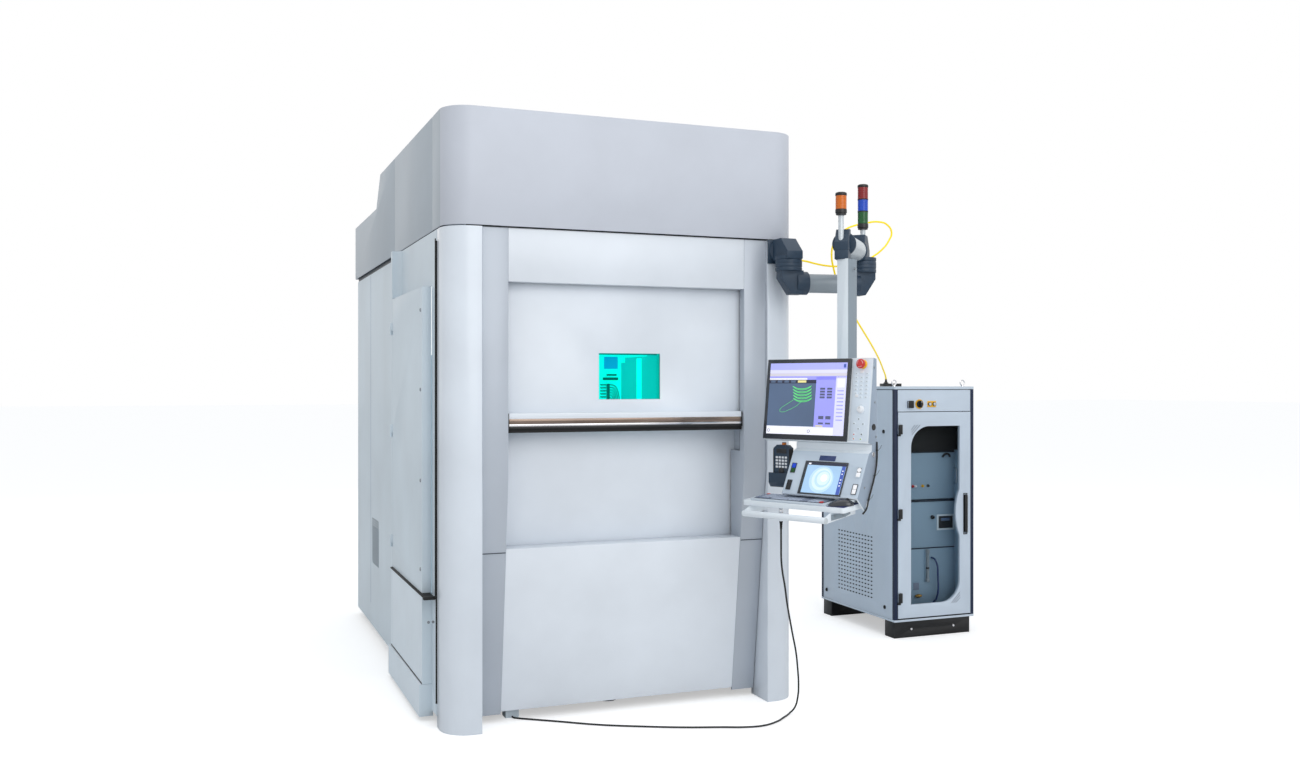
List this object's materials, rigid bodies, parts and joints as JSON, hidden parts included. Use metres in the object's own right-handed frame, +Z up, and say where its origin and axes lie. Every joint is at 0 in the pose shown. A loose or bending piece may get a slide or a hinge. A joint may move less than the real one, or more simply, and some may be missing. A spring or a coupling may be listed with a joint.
{
  "type": "laser welding cell",
  "caption": "Walk-up laser welding cell: enclosed cabinet with a lifting door, a control console on a swivel arm and a separate laser source cabinet joined by a fibre.",
  "frame": {"origin": "the centre of the cell's own footprint on the floor, without the console and the laser cabinet", "axes": "+Z is up. The door faces -Y. +X is to the right of somebody who faces the door: the console arm and the laser cabinet are on that side"},
  "size_m": [3.403, 3.6732, 2.645],
  "materials": {
    "frame": "satin",
    "dark_iron": "satin",
    "steel": "brushed",
    "column_white": "gloss",
    "silver": "metallic",
    "white": "satin",
    "hood": "metallic",
    "side_grey": "satin",
    "lamp": "frosted",
    "slate": "painted",
    "laser_glass": "tinted",
    "bright": "polished",
    "rubber": "matte",
    "tube_grey": "brushed",
    "post_grey": "satin",
    "black": "satin",
    "beacon": "translucent",
    "console_white": "satin",
    "screen": "glossy",
    "screen_blue": "glossy",
    "keys": "satin",
    "pendant_grey": "satin",
    "knob_white": "gloss",
    "stop_red": "gloss",
    "button_blue": "gloss",
    "button_white": "gloss",
    "navy": "gloss",
    "pale_blue": "satin",
    "smoked_glass": "tinted",
    "module_steel": "satin",
    "switch_yellow": "gloss",
    "fibre_jacket": "satin"
  },
  "bodies": {
    "cell": {"base_frame": "frame", "frame_posts": "frame", "machine_bed": "dark_iron", "work_table": "steel", "front_columns": "column_white", "pilasters": "silver", "header_panel": "white", "lower_front_panel": "white", "hood_front": "hood", "hood_middle": "hood", "hood_rear": "hood", "left_side_panel": "side_grey", "right_side_panel": "side_grey", "rear_side_panels": "side_grey", "rear_wall": "side_grey", "partition_wall": "white", "lamp_bar": "lamp", "door_guides": "frame", "switch_cabinet": "side_grey", "wall_housing": "slate", "axis_rails": "frame", "cab_frame": "navy", "cab_panels": "pale_blue", "cab_modules": "module_steel", "cab_plinth": "black", "fibre": "fibre_jacket", "lead": "rubber"},
    "upper_door": {"upper_wing": "white", "safety_window": "laser_glass", "grip_rail": "bright", "edge_seal": "rubber"},
    "lower_door": {"lower_wing": "white"},
    "service_door": {"side_door": "side_grey"},
    "bridge": {"y_bridge": "steel"},
    "carriage": {"x_carriage": "steel"},
    "ram": {"z_ram": "steel"},
    "arm": {"arm_tube": "tube_grey", "arm_elbows": "slate"},
    "carrier": {"far_housing": "slate", "head_block": "slate", "post": "post_grey", "beacon_bodies": "black", "beacon_lenses": "beacon", "console_housing": "console_white", "monitor": "screen", "lower_display": "screen_blue", "tray": "console_white", "keyboard": "keys", "mouse": "black", "pendant": "pendant_grey"},
    "stop_head": {"emergency_stop": "stop_red"},
    "knob": {"override_knob": "knob_white"},
    "twin_a": {"twin_button_1": "button_blue"},
    "twin_b": {"twin_button_2": "black"},
    "twin_c": {"twin_button_3": "button_white"},
    "twin_d": {"twin_button_4": "button_white"},
    "cabinet_door": {"cab_door": "pale_blue", "cab_window": "smoked_glass"},
    "cabinet_handle": {"cab_handle": "black"},
    "power_switch": {"main_switch": "switch_yellow"}
  },
  "joints": [
    {"name": "upper_door_lift", "type": "slide", "parent": "cell", "child": "upper_door", "axis": [0, 0, 1], "range_m": [0, 0.56]},
    {"name": "lower_door_drop", "type": "slide", "parent": "cell", "child": "lower_door", "axis": [0, 0, -1], "range_m": [0, 0.53]},
    {"name": "service_door_hinge", "type": "hinge", "parent": "cell", "child": "service_door", "pos_m": [-0.88, -0.328, 1.23], "axis": [0, 0, -1], "range_deg": [0, 110]},
    {"name": "bridge_travel", "type": "slide", "parent": "cell", "child": "bridge", "axis": [0, 1, 0], "range_m": [-0.3, 0.55]},
    {"name": "carriage_travel", "type": "slide", "parent": "bridge", "child": "carriage", "axis": [1, 0, 0], "range_m": [-0.4, 0.4]},
    {"name": "ram_travel", "type": "slide", "parent": "carriage", "child": "ram", "axis": [0, 0, 1], "range_m": [-0.25, 0]},
    {"name": "arm_swing", "type": "hinge", "parent": "cell", "child": "arm", "pos_m": [0.726, -1.524, 2.023], "axis": [0, 0, 1], "range_deg": [-30, 12]},
    {"name": "console_swing", "type": "hinge", "parent": "arm", "child": "carrier", "pos_m": [1.08383, -1.57876, 2.023], "axis": [0, 0, 1], "range_deg": [-5, 45]},
    {"name": "stop_press", "type": "slide", "parent": "carrier", "child": "stop_head", "axis": [0.8965, 0.4276, -0.1158], "range_m": [0, 0.005], "stiffness_N_per_m": 1500},
    {"name": "knob_turn", "type": "hinge", "parent": "carrier", "child": "knob", "pos_m": [0.70597, -2.17272, 1.37109], "axis": [-0.8965, -0.4276, 0.1158], "range_deg": [-140, 140]},
    {"name": "twin_rock_a", "type": "hinge", "parent": "carrier", "child": "twin_a", "pos_m": [0.53674, -1.92106, 1.12244], "axis": [0.4305, -0.9026, 0], "range_deg": [-3, 3], "stiffness_Nm_per_rad": 2},
    {"name": "twin_rock_b", "type": "hinge", "parent": "carrier", "child": "twin_b", "pos_m": [0.50677, -1.93535, 1.05408], "axis": [0.4305, -0.9026, 0], "range_deg": [-3, 3], "stiffness_Nm_per_rad": 2},
    {"name": "twin_rock_c", "type": "hinge", "parent": "carrier", "child": "twin_c", "pos_m": [0.67336, -2.21154, 1.11885], "axis": [0.4305, -0.9026, 0], "range_deg": [-3, 3], "stiffness_Nm_per_rad": 2},
    {"name": "twin_rock_d", "type": "hinge", "parent": "carrier", "child": "twin_d", "pos_m": [0.64457, -2.22527, 1.05318], "axis": [0.4305, -0.9026, 0], "range_deg": [-3, 3], "stiffness_Nm_per_rad": 2},
    {"name": "cabinet_door_hinge", "type": "hinge", "parent": "cell", "child": "cabinet_door", "pos_m": [1.995, -0.51, 0.722], "axis": [0, 0, -1], "range_deg": [0, 120]},
    {"name": "cabinet_handle_swing", "type": "hinge", "parent": "cabinet_door", "child": "cabinet_handle", "pos_m": [2.456, -0.496, 0.602], "axis": [1, 0, 0], "range_deg": [0, 40]},
    {"name": "power_switch_turn", "type": "hinge", "parent": "cell", "child": "power_switch", "pos_m": [2.135, -0.5, 1.357], "axis": [0, -1, 0], "range_deg": [0, 90]}
  ],
  "couplings": [
    {"joint": "lower_door_drop", "follows": "upper_door_lift", "ratio": 0.9464}
  ]
}
